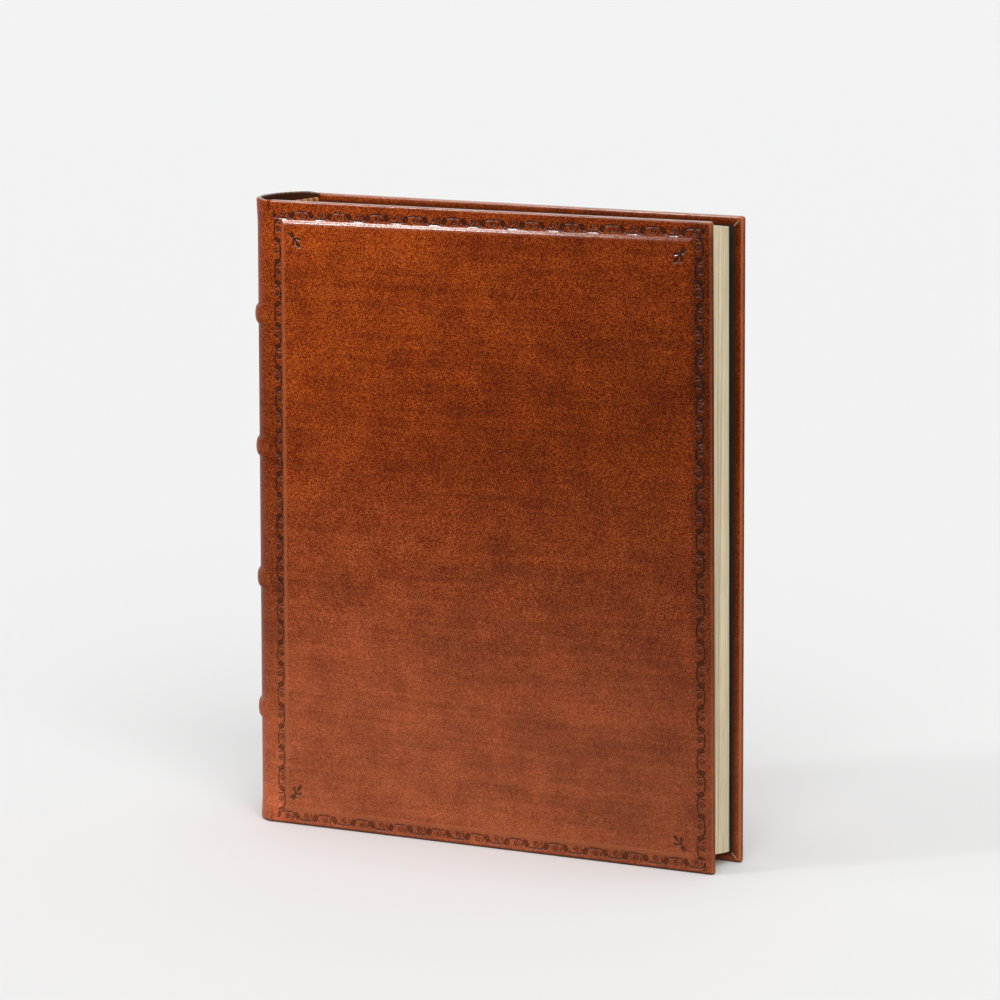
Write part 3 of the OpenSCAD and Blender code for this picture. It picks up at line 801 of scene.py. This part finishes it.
def spineSkin():
    t, card, top = album["leatherT"], spine["cardT"], album["spineTop"]
    deepest = -t - card - spine["turnInT"]
    capR = (spine["swell"] - deepest) / 2
    pitch = (album["coverH"] - 2 * spine["bandEnd"]) / (spine["bandCount"] - 1)
    arc = np.radians(np.arange(0, 181, 15))
    outer = [((deepest + spine["swell"]) / 2 + capR * math.cos(a), capR - capR * math.sin(a)) for a in arc]
    inner = [(-t - card / 2 + card / 2 * math.cos(a), capR - card / 2 * math.sin(a)) for a in arc]
    turnIn = spine["capTurnIn"]
    outer += [(deepest, capR + 6), (deepest, turnIn - 0.5), (deepest + 0.25, turnIn)]
    inner += [(-t - card, capR + 6), (-t - card, turnIn - 0.5), (-t - card, turnIn)]
    levels = []
    for drop in (9.0, 6.0, 3.5):   # the swell dies away below the cap
        levels.append((spine["swell"] * float(smooth(spine["swellL"], 0, drop)), capR + drop))
    lowOut = outer[::-1] + levels[::-1]
    lowIn = inner[::-1] + [(-t + min(o, 0.0), z) for o, z in levels[::-1]]
    stretches, start = [], spine["swellL"] + capR
    for k in range(spine["bandCount"]):
        middle = spine["bandEnd"] + k * pitch
        stretches += [(start, middle - 7.0, 5.0), (middle - 7.0, middle + 7.0, 0.5)]
        start = middle + 7.0
    faceZ = lines(*stretches, (start, top - spine["swellL"] - capR, 5.0))
    outs = [p[0] for p in lowOut] + [0.0] * len(faceZ) + [p[0] for p in lowOut[::-1]]
    zs = [p[1] for p in lowOut] + list(faceZ) + [top - p[1] for p in lowOut[::-1]]
    insOuts = [p[0] for p in lowIn] + [-t] * len(faceZ) + [p[0] for p in lowIn[::-1]]
    insZs = [p[1] for p in lowIn] + list(faceZ) + [top - p[1] for p in lowIn[::-1]]
    end = jointAngle()
    stations = np.linspace(-end, end, 2 * round(end / spine["stationStep"]) + 1)
    pile = Pile(*leatherMarks)
    lifts = np.concatenate([np.zeros(len(lowOut)), bandLift(faceZ), np.zeros(len(lowOut))])
    sectionOut, sectionZ = np.array(outs + insOuts[::-1]), np.array(zs + insZs[::-1])
    sectionLift = np.concatenate([lifts, lifts[::-1]])
    # wear on the cap's rim and the bands' crowns, partly a painted highlight
    capWearAndHighlight = np.zeros(len(outs))
    capWearAndHighlight[3:3 + 13] = capWearAndHighlight[-16:-3] = np.sin(np.arange(13) / 12 * math.pi) * spine["capWearAndHighlight"]
    bandWearAndHighlight = smooth(0.75, 1.0, lifts / spine["bandRise"]) * spine["bandWearAndHighlight"]
    wear = np.concatenate([capWearAndHighlight + bandWearAndHighlight, np.zeros(len(insOuts))])
    order = np.arange(len(sectionOut))
    # painted shade on the turned-in ends inside the hollow
    inside = (order < 9) | (np.abs(order - len(outs) + 5) < 5)
    angle = stations[:, None]
    # The cap at the head comes down to the covers beside the joints
    fall = (top - album["coverH"] + 0.1) * smooth(60, 86, np.abs(angle))
    capZ = sectionZ[None, :] - fall * smooth(300, top, sectionZ)
    points = spineAt(angle, sectionOut[None, :] + sectionLift[None, :] * bandFade(angle), capZ)
    size = points.shape[:2]
    index = pile.add(points, wear=np.broadcast_to(wear, size), inside=np.broadcast_to(inside, size))
    pile.tube(index)
    piece = pile.build("spineSkin", finish["spineLeather"])
    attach(piece, "block")
    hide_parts("spine_leather")
    return piece


piece = spineSkin()
print(piece.name, "has", len(piece.data.polygons), "faces")


def leafLift(across):  # how far a leaf stands up at its fore-edge
    return 0.73 - 1.13 * across


def jointStrip(side):  # the leather between the spine and a cover
    sign = -1 if side == "front" else 1
    g, h = album["jointHalf"], album["coverH"]
    # At the head its leather is creased, with painted shade in the crease
    stretches = lines((0.25, 1.6, 0.27)), lines((1.6, h - 1.6, 1.2))[1:], lines((h - 1.6, h - 0.05, 0.25))[1:]
    zLine = np.concatenate(stretches)
    angles = np.linspace(jointAngle(), 90, 5)
    run = np.linspace(0.0, g, 6)
    rows, creaseShades = [], []
    creaseShape = np.array([0, 0, 0.2, 0.7, 1, 0.6, 0.2, 0, 0, 0])
    for z in zLine:
        ends = min(z - zLine[0], zLine[-1] - z)
        thick = 0.85 + 0.75 * float(smooth(16.5, 14.5, ends))
        shrink = 0.5 * (1 - math.sqrt(max(0.0, 1 - max(0.0, 1 - ends / 1.2) ** 2)))
        lift = bandLift(np.array([z]))[0] * bandFade(angles)
        crease = smooth(h - 9, h - 4, z) * smooth(h - 0.3, h - 1.5, z) * creaseShape
        outs = lift - shrink - 0.2 * crease[:5]
        outer = [spineAt(sign * angles, outs, z)[:-1], onCover(side, run, shrink, z)]
        inner = [spineAt(sign * angles, -thick + shrink, z)[:-1], onCover(side, run, thick - shrink, z)]
        rows.append(np.vstack([*outer, np.vstack(inner)[::-1]]))
        creaseShades.append(np.concatenate([crease, np.zeros(len(crease))]))
    pile = Pile(*leatherMarks)
    # the dark mark along the crease is painted shade
    index = pile.add(np.array(rows), tool=np.array(creaseShades))
    pile.tube(index)
    piece = pile.build(side + "JointLeather", finish["leather"])
    side + "_cover"
    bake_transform(piece)
    return piece


def paperSheet(side):  # black paper pasted inside a cover
    margin, depth, t = album["pasteMargin"], album["coverT"], album["paperT"]
    w, h = album["coverW"] - margin, album["coverH"] - margin
    sLine, zLine = lines((1.0, w, 8.0)), lines((margin, h, 8.0))
    pile = Pile()
    s, z = np.meshgrid(sLine, zLine, indexing="ij")
    # Over the lining it lies a little higher than over the turned-in leather
    inner = np.minimum.reduce([album["coverW"] - s, z, album["coverH"] - z])
    lift = 0.05 * smooth(15.0, 19.0, inner)
    top = pile.grid(onCover(side, s, depth + t + lift, z))
    low = pile.grid(onCover(side, s, depth - 0.05, z))
    pile.rim(top, low)
    piece = pile.build(side + "Pastedown", finish["blackPaper"])
    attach(piece, side + "_cover")
    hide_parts(side + "_pastedown")
    return piece


def paperJoint(side):  # black paper folded into the joint between the pastedown and the flyleaf
    sign = -1 if side == "front" else 1
    margin, t, depth = album["pasteMargin"], album["paperT"], album["coverT"]
    zLine = lines((margin + 1.5, album["coverH"] - margin - 1.5, 6.0))
    y = album["shoulderY"]
    rows = []
    for z in zLine:
        board = onCover(side, [1.02, 0.8, 0.55], [depth, depth + 0.02, depth + 0.1], z)
        board2 = onCover(side, [1.02, 0.8, 0.55], [depth + t, depth + t + 0.03, depth + t + 0.14], z)
        fly = np.array([[0.02, sign * y, z], [0.2, sign * (y + 0.01), z], [0.38, sign * (y + 0.1), z]])
        fly2 = fly + [0, sign * t, 0]
        rows.append(np.vstack([fly, board2[::-1], board, fly2[::-1]]))
    pile = Pile()
    index = pile.add(np.array(rows))
    pile.tube(index)
    piece = pile.build(side + "EndpaperJoint", finish["blackPaper"])
    side + "_cover"
    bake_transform(piece)
    return piece


def flySheet(side):  # loose half of an endpaper, lying on the leaves
    sign = -1 if side == "front" else 1
    t = album["paperT"]
    xLine, zLine = lines((0.0, album["leafFore"], 24.0)), lines((album["leafTail"], album["leafHead"], 24.0))
    x, z = np.meshgrid(xLine, zLine, indexing="ij")
    pile = Pile()
    inner = leafPoint(x, sign, z, leafLift(sign))
    low = pile.grid(inner)
    top = pile.grid(inner + [0, sign * t, 0])
    pile.rim(top, low)
    piece = pile.build(side + "Flyleaf", finish["blackPaper"])
    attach(piece, "block")
    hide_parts(side + "_flyleaf")
    return piece


for side in ("front", "back"):
    for make in (jointStrip, paperSheet, paperJoint, flySheet):
        piece = make(side)
        print(piece.name, "has", len(piece.data.polygons), "faces")

# Leaves: thick card leaves on guards, lying close at the back and a little uneven at their edges
leaves = {"count": 12, "gap": 0.16, "uneven": 0.22, "edge": 0.12, "seed": 7}


def leafBlock():
    rng = np.random.default_rng(leaves["seed"])
    n = leaves["count"]
    pile = Pile()
    b, f, z0, z1 = album["leafBack"], album["leafFore"], album["leafTail"], album["leafHead"]
    for k in range(n):
        low, high = 2 * k / n - 1, 2 * (k + 1) / n - 1
        fore = f - leaves["uneven"] * rng.random()
        base, top = z0 + 0.12 * rng.random(), z1 - 0.12 * rng.random()
        gap = leaves["gap"] * (0.5 + rng.random())
        e = leaves["edge"]
        plan = []
        for x, inset in ((b, 0.0), (f - 40.0, 0.25), (fore - e, 1.0), (fore, 1.0)):
            half = album["shoulderY"] + (album["foreHalf"] - album["shoulderY"]) * (x - b) / (f - b)
            trim = (gap / 2 * inset + (e if x == fore else 0)) / half
            plan.append((x, low + trim, high - trim))
        outline = np.array([(x, a) for x, a, c in plan] + [(x, c) for x, a, c in plan[::-1]])
        middle = (low + high) / 2
        levels = [(base, 1), *((z, 0) for z in np.linspace(base + e, top - e, 8)), (top, 1)]
        sections = []
        for z, end in levels:
            x = outline[:, 0] - e * end * (outline[:, 0] > f - 45)
            across = outline[:, 1] + end * e / 14 * np.sign(middle - outline[:, 1]) * (x > b + 1)
            sections.append(leafPoint(x, across, z, leafLift(middle)))
        index = pile.add(np.array(sections))
        pile.tube(index)
    piece = pile.build("leaves", finish["pages"], smoothShade=False)
    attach(piece, "block")
    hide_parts("page_block")
    return piece


def headbandBead(name, node, z, way):  # silk wound round a cord, over a tape glued down the back
    bead = {"r": 1.15, "thread": 0.55, "groove": 0.12}
    y = album["shoulderY"] - 1.3
    turns = round(2 * y / bead["thread"])
    along = np.linspace(-y, y, turns * 4 + 1)
    ripple = bead["r"] - bead["groove"] * (0.5 - 0.5 * np.cos(np.arange(len(along)) * math.pi / 2))
    around = np.radians(np.arange(0, 360, 22.5))
    cx = album["leafBack"] - 0.7 + bead["r"]
    points = np.stack([cx + ripple[:, None] * np.cos(around), np.repeat(along[:, None], 16, 1),
                       z + way * (bead["r"] + ripple[:, None] * np.sin(around))], -1)
    pile = Pile()
    index = pile.add(points)
    pile.quads(np.hstack([index, index[:, :1]]))
    pile.fan(index[0])
    pile.fan(index[-1][::-1])
    low, high = sorted((z, z - way * 10))
    x0, x1 = album["leafBack"] - 0.7, album["leafBack"] - 0.31
    tape = np.array([[[x, s * y, h] for x, s in ((x0, -1), (x1, -1), (x1, 1), (x0, 1))] for h in (low, high)])
    index = pile.add(tape)
    pile.quads(np.hstack([index, index[:, :1]]))
    pile.fan(index[0])
    pile.fan(index[1])
    piece = pile.build(name, finish["silk"])
    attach(piece, "block")
    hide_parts(node)
    return piece


leafBlock()
headbandBead("headbandSilk", "headband", album["leafHead"], 1)
headbandBead("tailbandSilk", "tailband", album["leafTail"], -1)
print("leaves and headbands made")

# Studio: pale floor, plain soft light, and the photograph's camera
studio = {
    "floor": 0.86, "floorR": 16.0, "world": 0.33, "backdrop": (0.88, 0.88, 0.88, 1),
    # Softboxes as (direction, strength, spread in degrees)
    "suns": {"overhead": ((-0.02, -0.04, 0.99), 0.92, 34), "front": ((0.46, -0.66, 0.60), 1.72, 50),
             "side": ((-0.85, -0.40, 0.34), 0.15, 40), "key": ((-0.50, -0.58, 0.63), 0.32, 6.5)},
    "lens": 154.257, "place": (1.0273, -1.7698, 0.4912), "azimuth": 30.021, "pitch": 8.9835,
}


def makeStudio():
    bpy.ops.mesh.primitive_circle_add(vertices=96, radius=studio["floorR"], fill_type="NGON")
    floor = bpy.context.object
    floor.name = "floor"
    sh = Shader("paleFloor")
    level = studio["floor"]
    paint = sh.principled(Base_Color=(level, level, level), Roughness=0.75, Specular_IOR_Level=0.2)
    floor.data.materials.append(paint)
    world = bpy.data.worlds.new("studio")
    bpy.context.scene.world = world
    world.use_nodes = True
    tree = world.node_tree
    tree.nodes.clear()
    path = tree.nodes.new("ShaderNodeLightPath")
    seen = tree.nodes.new("ShaderNodeMath")
    seen.operation = "MAXIMUM"
    seen2 = tree.nodes.new("ShaderNodeMath")
    seen2.operation = "MAXIMUM"
    tree.links.new(path.outputs["Is Camera Ray"], seen.inputs[0])
    tree.links.new(path.outputs["Is Glossy Ray"], seen.inputs[1])
    tree.links.new(seen.outputs[0], seen2.inputs[0])
    tree.links.new(path.outputs["Is Transmission Ray"], seen2.inputs[1])
    light, backdrop = tree.nodes.new("ShaderNodeBackground"), tree.nodes.new("ShaderNodeBackground")
    light.inputs[0].default_value = (1, 1, 1, 1)
    light.inputs[1].default_value = studio["world"]
    backdrop.inputs[0].default_value = studio["backdrop"]
    blend = tree.nodes.new("ShaderNodeMixShader")
    tree.links.new(seen2.outputs[0], blend.inputs[0])
    tree.links.new(light.outputs[0], blend.inputs[1])
    tree.links.new(backdrop.outputs[0], blend.inputs[2])
    out = tree.nodes.new("ShaderNodeOutputWorld")
    tree.links.new(blend.outputs[0], out.inputs[0])
    for name, (direction, strength, spread) in studio["suns"].items():
        lamp = bpy.data.lights.new(name + "Light", "SUN")
        lamp.energy = strength
        lamp.angle = math.radians(spread)
        lampObject = bpy.data.objects.new(name + "Light", lamp)
        lampObject.rotation_euler = Vector(direction).to_track_quat("Z", "Y").to_euler()
        bpy.context.scene.collection.objects.link(lampObject)
    camera = bpy.data.cameras.new("camera")
    camera.lens = studio["lens"]
    camera.sensor_width = 36.0
    camera.clip_end = 60.0
    eye = bpy.data.objects.new("camera", camera)
    eye.location = studio["place"]
    eye.rotation_euler = (math.radians(90 - studio["pitch"]), 0, math.radians(studio["azimuth"]))
    bpy.context.scene.collection.objects.link(eye)
    bpy.context.scene.camera = eye
    bpy.context.scene.view_settings.view_transform = "Standard"


makeStudio()
print("studio set")
